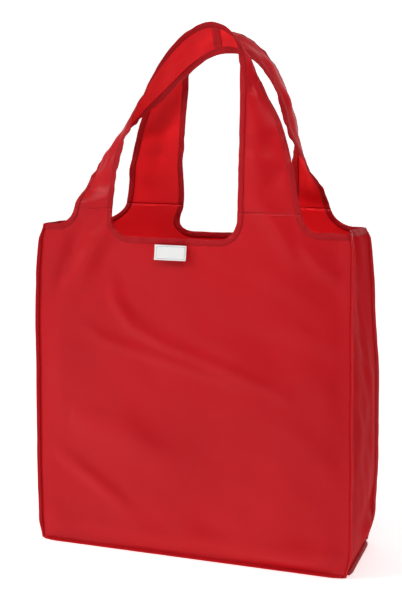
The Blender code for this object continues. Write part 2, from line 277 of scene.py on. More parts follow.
def weave_bump(tree, threads, strength, distance):
    """Two crossed sets of fine ridges, in the cloth's own flat coordinates."""
    place = tree.nodes.new("ShaderNodeTexCoord")
    ridges = []
    for direction in ("X", "Y"):
        wave = add_node(tree, "ShaderNodeTexWave", Scale=threads, wave_type="BANDS")
        wave.bands_direction = direction
        wave.inputs["Distortion"].default_value = 0.4
        tree.links.new(place.outputs["UV"], wave.inputs["Vector"])
        ridges.append(wave)
    total = add_node(tree, "ShaderNodeMath", operation="ADD")
    for n, wave in enumerate(ridges):
        tree.links.new(wave.outputs["Fac"], total.inputs[n])
    bump = tree.nodes.new("ShaderNodeBump")
    bump.inputs["Strength"].default_value = strength
    bump.inputs["Distance"].default_value = distance
    tree.links.new(total.outputs[0], bump.inputs["Height"])
    return bump, place


def crease_bump(tree, place, bump, scale, strength, distance):
    """Faint irregular creasing, laid over the weave."""
    creases = add_node(tree, "ShaderNodeTexNoise", Scale=scale, Detail=4.0)
    creases.inputs["Roughness"].default_value = 0.55
    creases.inputs["Distortion"].default_value = 0.8
    tree.links.new(place.outputs["Object"], creases.inputs["Vector"])
    over = tree.nodes.new("ShaderNodeBump")
    over.inputs["Strength"].default_value = strength
    over.inputs["Distance"].default_value = distance
    tree.links.new(creases.outputs["Fac"], over.inputs["Height"])
    tree.links.new(bump.outputs["Normal"], over.inputs["Normal"])
    return over


def cloth_material(name, colour, rough, weave=1400.0, bump=0.12, sheen=0.03, vary=0.10, crease=0.25,
                   shine=0.16):
    """Woven cloth: uneven colour and gloss, a fine weave, faint creases and a soft sheen."""
    made = bpy.data.materials.get(name)
    if made is not None:
        return made
    made = bpy.data.materials.new(name)
    made.use_nodes = True
    tree = made.node_tree
    shader = tree.nodes["Principled BSDF"]
    weave_node, place = weave_bump(tree, weave, bump, 0.00012)
    final = crease_bump(tree, place, weave_node, 38.0, crease, 0.0011)
    tree.links.new(final.outputs["Normal"], shader.inputs["Normal"])

    mottle = add_node(tree, "ShaderNodeTexNoise", Scale=9.0, Detail=3.0)
    tree.links.new(place.outputs["Object"], mottle.inputs["Vector"])
    tint = add_node(tree, "ShaderNodeMix", data_type="RGBA")
    tint.inputs["A"].default_value = [c * (1.0 - vary) for c in colour[:3]] + [1.0]
    tint.inputs["B"].default_value = [min(c * (1.0 + vary), 1.0) for c in colour[:3]] + [1.0]
    tree.links.new(mottle.outputs["Fac"], tint.inputs["Factor"])
    tree.links.new(tint.outputs["Result"], shader.inputs["Base Color"])

    worn = add_node(tree, "ShaderNodeTexNoise", Scale=26.0, Detail=2.0)
    tree.links.new(place.outputs["Object"], worn.inputs["Vector"])
    gloss = tree.nodes.new("ShaderNodeMapRange")
    gloss.inputs["To Min"].default_value = rough - 0.05
    gloss.inputs["To Max"].default_value = rough + 0.07
    tree.links.new(worn.outputs["Fac"], gloss.inputs["Value"])
    tree.links.new(gloss.outputs["Result"], shader.inputs["Roughness"])
    shader.inputs["Sheen Weight"].default_value = sheen
    shader.inputs["Sheen Roughness"].default_value = 0.35
    shader.inputs["Specular IOR Level"].default_value = shine
    return made


def outer_cloth():
    return cloth_material("red_cloth_outside", colours().cloth, 0.40)


def side_cloth():
    """The same cloth where it is seen nearly edge-on, kept dull so that it doesn't mirror the backdrop."""
    return cloth_material("side_cloth", colours().cloth, 0.60, sheen=0.0, shine=0.02)


def inner_cloth():
    # Its lighter colour is partly painted light, standing in for light glowing through the cloth
    return cloth_material("red_cloth_inside", colours().inside, 0.52, sheen=0.03)


def tape_cloth():
    return cloth_material("red_tape", colours().tape, 0.50, weave=2200.0, bump=0.3, crease=0.35)


def thread_material():
    return cloth_material("red_thread", colours().thread, 0.55, weave=6000.0, bump=0.5, crease=0.0)


def label_material():
    white = colours().label
    return cloth_material("label_cloth", white, 0.5, weave=2600.0, bump=0.5, vary=0.03, crease=0.1)


# ---------------------------------------------------------------- shapes


def smooth(value, low, high):
    """An eased share of the way from low to high, 0 to 1."""
    share = min(max((value - low) / (high - low), 0.0), 1.0)
    return share * share * (3.0 - 2.0 * share)


def on_panel(x, out, up):
    """A point given in the front panel's own leaning plane, as a place in space."""
    return Vector((
        x,
        -HALF_D + up * math.sin(LEAN) - out * math.cos(LEAN),
        up * math.cos(LEAN) + out * math.sin(LEAN),
    ))


def to_line(x, up, line):
    """Distance from a point to a line of points, and how far along it the nearest place is, 0 to 1."""
    best, along = 1e9, 0.0
    count = len(line) - 1
    for n in range(count):
        ax, ay = line[n]
        bx, by = line[n + 1][0] - ax, line[n + 1][1] - ay
        share = min(max(((x - ax) * bx + (up - ay) * by) / (bx * bx + by * by + 1e-12), 0.0), 1.0)
        gap = math.hypot(x - ax - bx * share, up - ay - by * share)
        if gap < best:
            best, along = gap, (n + share) / count
    return best, along


def arc(centre_x, centre_up, radius, start, end, steps=12):
    """Points along an arc."""
    points = []
    for n in range(steps + 1):
        angle = start + (end - start) * n / steps
        points.append((centre_x + radius * math.cos(angle), centre_up + radius * math.sin(angle)))
    return points


def straight(start, end, steps):
    """Points along a straight line."""
    return [
        (start[0] + (end[0] - start[0]) * n / steps, start[1] + (end[1] - start[1]) * n / steps)
        for n in range(steps + 1)
    ]


def scoop_line(inset):
    """The scooped rim from its left end down and round to its right end, set into the cloth."""
    radius = SCOOP_RADIUS + inset
    low = SCOOP + SCOOP_RADIUS
    left = arc(SCOOP_LEFT + SCOOP_RADIUS, low, radius, math.pi, math.pi * 1.5)
    right = arc(SCOOP_RIGHT - SCOOP_RADIUS, low, radius, math.pi * 1.5, math.pi * 2.0)
    down = straight((SCOOP_LEFT - inset, ROOT), left[0], 4)
    across = straight(left[-1], right[0], 40)
    up = straight(right[-1], (SCOOP_RIGHT + inset, ROOT), 4)
    return down[:-1] + left[:-1] + across[:-1] + right + up[1:]


def shoulder_line(sign, root_x, inset):
    """A shoulder from the side seam along the hem and up to the strap root."""
    rise = ROOT - HEM
    radius = rise / (1.0 - math.cos(SHOULDER_TURN))
    centre_x = root_x + sign * radius * math.sin(SHOULDER_TURN)
    start = -math.pi / 2.0
    curve = arc(0.0, 0.0, radius, start, start + SHOULDER_TURN)
    level = math.pi / 2.0 / SHOULDER_TURN
    points = []
    for n, (x, up) in enumerate(curve):
        way = start + SHOULDER_TURN * level * n / (len(curve) - 1)
        x, up = x + inset * math.cos(way), up + inset * math.sin(way)
        points.append((centre_x - sign * x, HEM + radius + up))
    return straight((sign * HALF_W, HEM - inset), points[0], 8)[:-1] + points


RIMS = [
    scoop_line(0.0),
    shoulder_line(-1.0, ROOT_OUTER_LEFT, 0.0),
    shoulder_line(1.0, ROOT_OUTER_RIGHT, 0.0),
]


def side_bow(side, x, up):
    """How far the cloth is carried sideways at a place, by its nearer upright corner."""
    points = BOWS[(side, 1 if x > 0.0 else -1)]
    found = points[-1][1]
    for (low, a), (high, b) in zip(points, points[1:]):
        if low <= up <= high:
            found = a + (b - a) * smooth(up, low, high)
            break
    share = min(max((abs(x) - BOW_START) / (HALF_W - BOW_START), 0.0), 1.0)
    bow = found * share ** 1.7 * (1.0 if x > 0.0 else -1.0)
    if side == "back":
        drawn = BACK_DRAW * smooth(up, 0.372, ROOT)
        bow += drawn * (smooth(-x, 0.060, 0.130) - smooth(x, 0.015, 0.050))
    return bow


def pucker(x, up, z=0.0):
    """Small tight gathers, as sewing leaves along a taped edge."""
    return 0.0026 * noise.noise(Vector((x * 85.0, up * 85.0, z))) + 0.0008 * noise.noise(
        Vector((x * 230.0, up * 230.0, z + 7.0))
    )


def panel_relief(side, x, up):
    """How far a panel's cloth stands out from its plane."""
    seed = 0.0 if side == "front" else 31.0
    inward = smooth(HALF_W - abs(x), 0.0, 0.030)
    foot = smooth(up, 0.0, 0.014)
    belly = sizes().belly * math.sin(math.pi * min(up / (HEM + 0.05), 1.0)) * math.cos(x / HALF_W * 1.45)
    relief = belly + 0.0035 * math.exp(-(((up - 0.022) / 0.013) ** 2))
    for line, height, width in FOLDS if side == "front" else BACK_FOLDS:
        gap, along = to_line(x, up, line)
        if gap < width * 3.0:
            taper = math.sin(math.pi * min(max(along, 0.03), 0.97)) ** 0.7
            relief += height * taper * math.exp(-((gap / width) ** 2))
    relief += 0.0055 * noise.noise(Vector((x * 8.0, up * 8.0, 1.5 + seed)))
    relief += 0.0014 * noise.noise(Vector((x * 22.0 + up * 14.0, up * 30.0, 4.0 + seed)))
    relief *= inward * foot
    nearest = min(to_line(x, up, line)[0] for line in RIMS) if up > HEM - 0.045 else 1.0
    relief += pucker(x, up) * math.exp(-nearest / 0.006)
    corner = math.hypot(abs(x) - HALF_W, up)
    relief += 0.002 * math.exp(-corner / 0.02) * noise.noise(Vector((x * 70.0, up * 70.0, 9.0)))
    return relief * smooth(HALF_W - abs(x), -0.001, 0.004)


def panel_point(side, x, up):
    """A place on a panel's cloth, in the front panel's place."""
    return on_panel(x + side_bow(side, x, up), panel_relief(side, x, up), up)


def smooth_point(points, t):
    """Catmull-Rom curve through the points, at station t."""
    last = len(points) - 1
    k = min(int(t), last - 1)
    f = t - k
    p0 = points[max(k - 1, 0)]
    p1, p2 = points[k], points[k + 1]
    p3 = points[min(k + 2, last)]
    return (
        p1 * 2.0 + (p2 - p0) * f
        + (p0 * 2.0 - p1 * 5.0 + p2 * 4.0 - p3) * f * f
        + (p1 * 3.0 - p0 - p2 * 3.0 + p3) * f * f * f
    ) * 0.5


EDGES = {
    "front": [[Vector(station[edge]) for station in STATIONS] for edge in (0, 1)],
    "back": [[Vector(station[edge]) for station in BACK_STATIONS] for edge in (0, 1)],
}
PANEL_OUT = on_panel(0.0, 1.0, 0.0) - on_panel(0.0, 0.0, 0.0)


def strap_chord(side, t):
    """The strap's inner and outer edge at station t."""
    inner, outer = [smooth_point(edge, t) for edge in EDGES[side]]
    flush = smooth(t, 0.0, 1.0) * smooth(LAST - t, 0.0, 1.0)
    inner.y *= flush
    outer.y *= flush
    return on_panel(*inner), on_panel(*outer)


def strap_point(side, t, share):
    """A place on the strap: t along its stations, share from the inner edge (0) to the outer (1)."""
    inner, outer = strap_chord(side, t)
    before, after = max(t - 0.2, 0.0), min(t + 0.2, float(LAST))
    near, far = strap_chord(side, before), strap_chord(side, after)
    along = (far[0] + far[1]) - (near[0] + near[1])
    normal = along.cross(outer - inner).normalized()
    k = min(int(t), LAST - 1)
    cup = CUP[k] + (CUP[k + 1] - CUP[k]) * smooth(t - k, 0.0, 1.0)
    width = (outer - inner).length
    edge = min(share, 1.0 - share) * width
    rise = cup * 4.0 * share * (1.0 - share)
    place = inner.lerp(outer, share)
    low_x, low_up = place.x, place.z / math.cos(LEAN)
    root = 1.0 - smooth(t, 0.0, 1.6) if t < LAST / 2.0 else smooth(t, LAST - 1.6, float(LAST))
    wave = noise.noise(Vector((t * 0.9, share * 2.2, 3.0))) * 0.0035
    wave += noise.noise(place * 60.0) * 0.0014
    if abs(t - JOIN) < 1.5:
        wave += noise.noise(place * 120.0) * 0.0012 * (1.0 - abs(t - JOIN) / 1.5)
    rise += wave * smooth(edge, 0.0, 0.010) * (1.0 - root)
    rise += pucker(place.x, place.z, place.y * 95.0) * math.exp(-edge / 0.005) * (1.0 - root)
    if root > 0.0:
        rise += panel_relief(side, low_x, low_up) * root
        normal = normal.lerp(PANEL_OUT, root).normalized()
        place.x += side_bow(side, low_x, low_up) * root
    return place + normal * rise


def corner_place(side, sign, up):
    """The upright corner line where a panel meets a gusset, in the front panel's place."""
    return panel_point(side, sign * HALF_W, up)


def gusset_point(sign, share, up):
    """A place on a gusset: share from the front corner (0) to the back corner (1)."""
    front = corner_place("front", sign, up)
    back = HALF_TURN @ corner_place("back", -sign, up)
    place = front.lerp(back, share)
    across = math.sin(math.pi * share)
    height = up / HEM
    crease = 0.0065 * smooth(height, 0.45, 1.0) * (1.0 - abs(2.0 * share - 1.0)) ** 1.2
    belly = 0.0040 * math.sin(math.pi * min(height * 1.25, 1.0)) * across
    ripple = 0.0024 * noise.noise(Vector((share * 3.2, up * 16.0, sign * 5.0))) * across
    ripple += 0.0016 * noise.noise(Vector((share * 6.0 + up * 20.0, up * 34.0, sign * 3.0))) * across
    foot = 0.0050 * math.exp(-((up - 0.030) / 0.018) ** 2) * math.exp(-((share - 0.72) / 0.16) ** 2)
    tuck = -0.0040 * math.exp(-((up - 0.052) / 0.014) ** 2) * math.exp(-((share - 0.85) / 0.12) ** 2)
    rim = pucker(share * 0.075, up, sign * 2.0) * math.exp(-(HEM - up) / 0.008) * across
    low = smooth(up, 0.0, 0.012)
    place.x += sign * ((belly - crease + ripple + foot + tuck) * low + rim)
    return place


# ---------------------------------------------------------------- building


def finish_mesh(name, mesh, materials, turn=None):
    if turn is not None:
        mesh.transform(turn)
    bmesh.ops.recalc_face_normals(mesh, faces=mesh.faces)
    data = bpy.data.meshes.new(name)
    mesh.to_mesh(data)
    mesh.free()
    for made in materials:
        data.materials.append(made)
    for face in data.polygons:
        face.use_smooth = len(face.vertices) <= 4
    obj = bpy.data.objects.new(name, data)
    bpy.context.scene.collection.objects.link(obj)
    return obj


RIM_SLOT = 2  # the cut edge's own slot, so that it can be shaded apart from the faces


def thicken(obj, thickness, inside_slot):
    """Give a sheet its real thickness, with the second material on the inner face."""
    made = obj.modifiers.new("thickness", "SOLIDIFY")
    made.thickness = thickness
    made.offset = 0.0
    made.use_even_offset = True
    made.material_offset = inside_slot
    made.material_offset_rim = RIM_SLOT
    obj.data.materials.append(obj.data.materials[0])
    graph = bpy.context.evaluated_depsgraph_get()
    baked = bpy.data.meshes.new_from_object(obj.evaluated_get(graph))
    obj.modifiers.clear()
    old = obj.data
    obj.data = baked
    bpy.data.meshes.remove(old)
    for face in obj.data.polygons:
        face.use_smooth = face.material_index < RIM_SLOT
    return obj


def outward(obj, way):
    """Turn an open sheet's faces so that most of them look the given way."""
    total = Vector((0.0, 0.0, 0.0))
    for face in obj.data.polygons:
        total += face.normal * face.area
    if total.dot(way) < 0.0:
        obj.data.flip_normals()


def sheet_from_rows(name, rows, flats, materials, turn=None):
    """An open grid sheet from rows of points, with its flat coordinates kept for the weave."""
    mesh = bmesh.new()
    flat_layer = mesh.loops.layers.uv.new("flat")
    made = [[mesh.verts.new(p) for p in row] for row in rows]
    for i in range(len(rows) - 1):
        for j in range(len(rows[0]) - 1):
            corners = ((i, j), (i, j + 1), (i + 1, j + 1), (i + 1, j))
            face = mesh.faces.new([made[a][b] for a, b in corners])
            for loop, (a, b) in zip(face.loops, corners):
                loop[flat_layer].uv = flats[a][b]
    return finish_mesh(name, mesh, materials, turn)


def row_normals(rows):
    """The surface normal at every point of a grid of rows."""
    last_i, last_j = len(rows) - 1, len(rows[0]) - 1
    found = []
    for i, row in enumerate(rows):
        line = []
        for j in range(len(row)):
            along = rows[min(i + 1, last_i)][j] - rows[max(i - 1, 0)][j]
            across = row[min(j + 1, last_j)] - row[max(j - 1, 0)]
            line.append(along.cross(across).normalized())
        found.append(line)
    return found


# One stitch: where each of its rings stands along it, and how wide and high the ring is
STITCH_SHAPE = ((-0.42, 0.35, 0.2), (-0.25, 1.0, 1.0), (0.25, 1.0, 1.0), (0.42, 0.35, 0.2))


def add_stitches(mesh, line, normals, ways, spacing, lift):
    """Short raised threads along a line of points, on one or both faces."""
    lengths = [0.0]
    for a, b in zip(line, line[1:]):
        lengths.append(lengths[-1] + (b - a).length)
    count = int(lengths[-1] / spacing)
    n = 0
    for k in range(count):
        start = (k + 0.5) * spacing
        while n < len(line) - 2 and lengths[n + 1] < start:
            n += 1
        share = (start - lengths[n]) / max(lengths[n + 1] - lengths[n], 1e-9)
        centre = line[n].lerp(line[n + 1], share)
        along = (line[n + 1] - line[n]).normalized()
        normal = normals[n].lerp(normals[n + 1], share).normalized()
        side = along.cross(normal)
        for way in ways:
            middle = centre + normal * (lift * way)
            ring = []
            for reach, wide, high in STITCH_SHAPE:
                at = middle + along * (reach * spacing)
                half_wide, half_high = 0.00024 * wide, 0.00018 * high
                ring.append([
                    mesh.verts.new(at + side * half_wide - normal * (way * 0.0001)),
                    mesh.verts.new(at + normal * (way * half_high)),
                    mesh.verts.new(at - side * half_wide - normal * (way * 0.0001)),
                ])
            for here, there in zip(ring, ring[1:]):
                for j in range(3):
                    after = (j + 1) % 3
                    face = mesh.faces.new((here[j], here[after], there[after], there[j]))
                    face.material_index = 1
            for end in (ring[0], ring[-1]):
                face = mesh.faces.new(end if end is ring[0] else list(reversed(end)))
                face.material_index = 1


def ribbon(name, rows, half, materials, stitch_at=None, turn=None, ways=(1.0, -1.0)):
    """A folded tape: rows of points from its edge inwards, wrapped round the cloth, with its stitches."""
    mesh = bmesh.new()
    flat_layer = mesh.loops.layers.uv.new("flat")
    normals = row_normals(rows)
    rings = []
    for row, line in zip(rows, normals):
        inward = (row[1] - row[0]).normalized()
        swell = [0.8 if j in (0, len(row) - 1) else 1.0 for j in range(len(row))]
        upper = [p + n * half * more for p, n, more in zip(row, line, swell)]
        lower = [p - n * half * more for p, n, more in zip(row, line, swell)]
        nose = row[0] - inward * half * 0.9
        rings.append([mesh.verts.new(p) for p in [nose] + upper + list(reversed(lower))])
    count = len(rings[0])
    distance = 0.0
    for i in range(len(rings) - 1):
        step = (rows[i + 1][0] - rows[i][0]).length
        for j in range(count):
            after = (j + 1) % count
            face = mesh.faces.new((rings[i][j], rings[i][after], rings[i + 1][after], rings[i + 1][j]))
            places = ((distance, j), (distance, j + 1), (distance + step, j + 1), (distance + step, j))
            for loop, (u, v) in zip(face.loops, places):
                loop[flat_layer].uv = (u, v * 0.0016)
        distance += step
    mesh.faces.new(list(reversed(rings[0])))
    mesh.faces.new(rings[-1])
    if stitch_at is not None:
        line = [row[stitch_at] for row in rows]
        picked = [n[stitch_at] for n in normals]
        add_stitches(mesh, line, picked, ways, sizes().stitch, half * 1.05)
    return finish_mesh(name, mesh, materials, turn)


def tape_insets():
    """How far the tape's rows lie in from the cloth's edge."""
    width = sizes().tape_width
    return [width * share for share in (0.0, 0.22, 0.45, 0.72, 1.0)]


STITCH_ROW = 3
STRAP_COLUMNS = 20  # the same steps across the strap and along the panel's roots, so that they meet


# ---------------------------------------------------------------- pieces


def panel_outline():
    """The panel's edge, anticlockwise from its lower left corner."""
    steps = int(HEM / sizes().mesh_step)
    bottom = straight((-HALF_W, 0.0), (HALF_W, 0.0), int(HALF_W * 2.0 / sizes().mesh_step))
    right = straight((HALF_W, 0.0), (HALF_W, HEM), steps)
    left = straight((-HALF_W, HEM), (-HALF_W, 0.0), steps)
    right_shoulder = RIMS[2]
    root_right = straight(right_shoulder[-1], RIMS[0][-1], STRAP_COLUMNS)
    scoop = list(reversed(RIMS[0]))
    root_left = straight(RIMS[0][0], RIMS[1][-1], STRAP_COLUMNS)
    left_shoulder = list(reversed(RIMS[1]))
    outline = []
    for part in (bottom, right, right_shoulder, root_right, scoop, root_left, left_shoulder, left):
        outline += part[:-1]
    return outline


def make_panel_mesh(name, side, turn):
    """One panel, meshed over its true cut and pressed into shape."""
    step = sizes().mesh_step
    outline = panel_outline()
    points = [Vector(p) for p in outline]
    count = len(points)
    edges = [(n, (n + 1) % count) for n in range(count)]
    columns, rows = int(HALF_W * 2.0 / step), int(ROOT / step)
    closed = outline + [outline[0]]
    for i in range(1, columns):
        for j in range(1, rows + 1):
            x, up = -HALF_W + i * HALF_W * 2.0 / columns, j * ROOT / rows
            near_rim = up > SCOOP - 0.02
            if near_rim and to_line(x, up, closed)[0] < step * 0.55:
                continue
            points.append(Vector((x + (0.5 * step if j % 2 else 0.0) * (abs(x) < HALF_W - step), up)))
    verts, _, faces, _, _, _ = delaunay_2d_cdt(points, edges, [list(range(count))], 1, 1e-6)
    mesh = bmesh.new()
    flat_layer = mesh.loops.layers.uv.new("flat")
    made = [mesh.verts.new(panel_point(side, v.x, v.y)) for v in verts]
    for face in faces:
        new = mesh.faces.new([made[k] for k in face])
        for loop, k in zip(new.loops, face):
            loop[flat_layer].uv = (verts[k].x, verts[k].y)
    return finish_mesh(name, mesh, [outer_cloth(), inner_cloth()], turn)


def panel_area():
    """Flat area of a panel's cut, by the shoelace rule."""
    outline = panel_outline()
    total = 0.0
    for (ax, ay), (bx, by) in zip(outline, outline[1:] + outline[:1]):
        total += ax * by - bx * ay
    return abs(total) / 2.0


def rim_tape(name, side, line_at):
    """A tape along one of the rims of a panel."""
    lines = [line_at(inset) for inset in tape_insets()]
    rows = []
    for places in zip(*lines):
        rows.append([panel_point(side, x, up) for x, up in places])
    materials = [tape_cloth(), thread_material()]
    return ribbon(name, rows, sizes().tape_half, materials, STITCH_ROW, SIDES[side])


def build_panel(side):
    """One panel with the three tapes along its rim."""
    turn = SIDES[side]
    way = turn.to_3x3() @ Vector((0.0, -1.0, 0.0))
    cloth = make_panel_mesh(side + "_cloth", side, turn)
    outward(cloth, way)
    thicken(cloth, sizes().cloth, 1)
    scoop = rim_tape(side + "_scoop_tape", side, scoop_line)
    left = rim_tape(side + "_shoulder_tape_left", side, lambda i: shoulder_line(-1.0, ROOT_OUTER_LEFT, i))
    right = rim_tape(side + "_shoulder_tape_right", side, lambda i: shoulder_line(1.0, ROOT_OUTER_RIGHT, i))
    for piece in (cloth, scoop, left, right):
        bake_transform(piece)
    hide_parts(side + "_panel")
    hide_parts(side + "_scoop_binding")
    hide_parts(side + "_shoulder_binding_left")
    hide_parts(side + "_shoulder_binding_right")
    panel_area()


def strap_times(side):
    """Stations at even steps of length along the strap."""
    fine = [n * 0.02 for n in range(LAST * 50 + 1)]
    middles = []
    for t in fine:
        inner, outer = strap_chord(side, t)
        middles.append((inner + outer) / 2.0)
    lengths = [0.0]
    for a, b in zip(middles, middles[1:]):
        lengths.append(lengths[-1] + (b - a).length)
    count = int(lengths[-1] / (sizes().mesh_step * 0.8))
    times, n = [], 0
    for k in range(count + 1):
        target = lengths[-1] * k / count
        while n < len(lengths) - 2 and lengths[n + 1] < target:
            n += 1
        share = (target - lengths[n]) / (lengths[n + 1] - lengths[n])
        times.append(min(fine[n] + share * 0.02, float(LAST)))
    return times, lengths[-1]


def build_strap(side):
    """One strap with its two edge tapes and the join near its top."""
    turn = SIDES[side]
    times, length = strap_times(side)
    columns = STRAP_COLUMNS
    rows, flats, area = [], [], 0.0
    step = length / (len(times) - 1)
    for n, t in enumerate(times):
        inner, outer = strap_chord(side, t)
        width = (outer - inner).length
        area += width * step
        rows.append([strap_point(side, t, j / columns) for j in range(columns + 1)])
        flats.append([(n * step, width * (j / columns - 0.5)) for j in range(columns + 1)])
    cloth = sheet_from_rows(side + "_strap", rows, flats, [outer_cloth(), inner_cloth()], turn)
    root_way = Vector((0.0, 0.0, 0.0))
    for face in cloth.data.polygons:
        if face.center.z < ROOT + 0.02:
            root_way += face.normal * face.area
    if root_way.dot(turn.to_3x3() @ Vector((0.0, -1.0, 0.0))) < 0.0:
        cloth.data.flip_normals()
    thicken(cloth, sizes().cloth, 1)

    tapes = []
    for edge in ("inner", "outer"):
        tape_rows = []
        for t in times:
            a, b = strap_chord(side, t)
            width = (b - a).length
            shares = [inset / width for inset in tape_insets()]
            if edge == "outer":
                shares = [1.0 - share for share in shares]
            tape_rows.append([strap_point(side, t, share) for share in shares])
        tape = ribbon(
            side + "_strap_tape_" + edge, tape_rows, sizes().tape_half,
            [tape_cloth(), thread_material()], STITCH_ROW, turn,
        )
        tapes.append(tape)
    for piece in [cloth] + tapes:
        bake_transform(piece)
    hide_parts(*[side + "_" + n for n in ("strap_root_left", "strap_root_right", "strap_left", "strap_right")])
    for tape, edge in zip(tapes, ("inner", "outer")):
        names = [side + "_root_" + edge + "_binding_left", side + "_root_" + edge + "_binding_right"]
        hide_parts(*names, side + "_handle_" + edge + "_binding")

    seam_rows = []
    for k in range(7):
        t = JOIN - 0.30 + 0.60 * k / 6.0
        seam_rows.append([strap_point(side, t, 0.03 + 0.94 * j / 18.0) for j in range(19)])
    crossways = [list(column) for column in zip(*seam_rows)]
    seam = ribbon(
        side + "_handle_join", crossways, sizes().tape_half * 0.8,
        [outer_cloth(), thread_material()], 5, turn,
    )
    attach(seam, side + "_handle")
    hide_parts(side + "_handle_seam")


def build_seams(side):
    """The pinched seams up a panel's corners and along its foot."""
    turn = SIDES[side]
    steps = int(HEM / 0.003)
    for name, sign in (("left", -1.0), ("right", 1.0)):
        way = Vector((sign, -1.0, 0.0)).normalized()
        rows = []
        for n in range(steps + 1):
            up = 0.0015 + (HEM - 0.0015) * n / steps
            corner = corner_place(side, sign, up)
            shift = 0.0007 * noise.noise(Vector((up * 60.0, sign * 4.0, 2.0)))
            sway = Vector((-way.y, way.x, 0.0)) * shift
            reach = 0.0042 + 0.0003 * noise.noise(Vector((up * 40.0, sign * 2.0, 6.0)))
            reach *= (0.45 + 0.55 * smooth(HEM - up, 0.0, 0.030)) * (0.40 + 0.60 * smooth(up, 0.0, 0.025))
            shares = [1.0 - k / 3.0 for k in range(4)]
            rows.append([corner + way * (reach * share) + sway * share for share in shares])
        materials = [outer_cloth(), thread_material()]
        seam = ribbon(side + "_corner_flange_" + name, rows, 0.0007, materials, 2, turn)
        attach(seam, side)
        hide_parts(side + "_corner_seam_" + name)
    low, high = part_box(side + "_base_seam")
    rows = []
    for n in range(121):
        x = (low.x + 0.006) + (high.x - low.x - 0.012) * n / 120.0
        wave = 0.0006 * noise.noise(Vector((x * 45.0, 3.0, 1.0)))
        reach = 0.30 + 0.70 * smooth(HALF_W - abs(x), 0.0, 0.022)
        rows.append([
            Vector((x, -HALF_D + 0.0004 - (0.0052 - 0.3 * wave) * reach, 0.0010)),
            Vector((x, -HALF_D + 0.0004 - 0.0038 * reach, 0.0012 + abs(wave))),
            Vector((x, -HALF_D + 0.0004 - 0.0018 * reach, 0.0020 + abs(wave))),
            Vector((x, -HALF_D + 0.0004, 0.0032)),
        ])
    seam = ribbon(side + "_foot_flange", rows, 0.0007, [outer_cloth(), thread_material()], 2, turn)
    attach(seam, side)
    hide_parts(side + "_base_seam")


def build_gusset(name, sign):
    """One side gusset with its bound hem, bending at its pressed crease."""
    columns, steps = 36, int(HEM / sizes().mesh_step)
    rows, flats = [], []
    for i in range(steps + 1):
        up = HEM * i / steps
        half = HALF_D - up * math.tan(LEAN)
        rows.append([gusset_point(sign, j / columns, up) for j in range(columns + 1)])
        flats.append([(half * (2.0 * j / columns - 1.0), up) for j in range(columns + 1)])
    cloth = sheet_from_rows(name + "_gusset", rows, flats, [side_cloth(), inner_cloth()])
    outward(cloth, Vector((sign, 0.0, 0.0)))
    thicken(cloth, sizes().cloth, 1)
    tape_rows = []
    for j in range(49):
        share = 0.004 + 0.992 * j / 48.0
        tape_rows.append([gusset_point(sign, share, HEM - inset) for inset in tape_insets()])
    materials = [tape_cloth(), thread_material()]
    tape = ribbon(name + "_hem_tape", tape_rows, sizes().tape_half, materials, STITCH_ROW)
    for piece in (cloth, tape):
        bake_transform(piece)
    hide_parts(name + "_gusset_front", name + "_gusset_back")
    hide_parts(name + "_hem_binding_front", name + "_hem_binding_back")


def base_reach(y):
    """Half the width of the lifting base panel at a place from front to back."""
    for (ay, ax), (by, bx) in zip(BASE_OUTLINE, BASE_OUTLINE[1:]):
        if y <= by:
            return ax + (bx - ax) * (y - ay) / (by - ay)
    return BASE_OUTLINE[-1][1]


def build_base():
    """The lifting base, the folds at its ends and its side seams."""
    low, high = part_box("base_panel")
    steps = 40
    panel_rows, panel_flats = [], []
    pleats = {1.0: [], -1.0: []}
    for i in range(steps + 1):
        y = low.y + (high.y - low.y) * i / steps
        reach = base_reach(y)
        xs = [reach * (2.0 * j / 60.0 - 1.0) for j in range(61)]
        lift = [0.0009 + 0.0004 * noise.noise(Vector((x * 30.0, y * 30.0, 0.0))) for x in xs]
        panel_rows.append([Vector((x, y, z)) for x, z in zip(xs, lift)])
        panel_flats.append([(x, y) for x in xs])
        for sign in pleats:
            start, end = reach + BASE_FOLD_GAP, HALF_W - BASE_FOLD_END
            row = []
            for j in range(13):
                x = start + (end - start) * j / 12.0
                z = 0.0016 + 0.0012 * math.sin(math.pi * j / 12.0)
                row.append(Vector((sign * x, y, z)))
            pleats[sign].append(row)
    panel = sheet_from_rows("base_cloth", panel_rows, panel_flats, [outer_cloth(), inner_cloth()])
    outward(panel, Vector((0.0, 0.0, -1.0)))
    thicken(panel, sizes().cloth, 1)
    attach(panel, "base")
    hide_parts("base_panel")
    for name, sign in (("right", 1.0), ("left", -1.0)):
        flats = [[(p.x, p.y) for p in row] for row in pleats[sign]]
        pleat = sheet_from_rows("base_fold_" + name, pleats[sign], flats, [outer_cloth(), inner_cloth()])
        outward(pleat, Vector((0.0, 0.0, -1.0)))
        thicken(pleat, sizes().cloth, 1)
        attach(pleat, "base")
        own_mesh(pleat)
        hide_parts("base_pleat_" + name)
        seam_low, seam_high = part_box("base_side_seam_" + name)
        rows = []
        for n in range(51):
            y = seam_low.y + (seam_high.y - seam_low.y) * n / 50.0
            wave = 0.0005 * noise.noise(Vector((y * 50.0, sign, 1.0)))
            foot_x = abs(gusset_point(sign, (y + HALF_D) / DEPTH, 0.0).x)
            shrink = 0.30 + 0.70 * smooth(HALF_D - abs(y), 0.0, 0.020)
            rows.append([
                Vector((sign * (foot_x + reach * shrink), y, z + abs(wave)))
                for reach, z in ((0.0045, 0.0009), (0.0030, 0.0011), (0.0014, 0.0017), (-0.0004, 0.0026))
            ])
        seam = ribbon("base_side_flange_" + name, rows, 0.0006, [outer_cloth(), thread_material()], 2)
        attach(seam, "base")
        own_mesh(seam)
        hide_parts("base_side_seam_" + name)


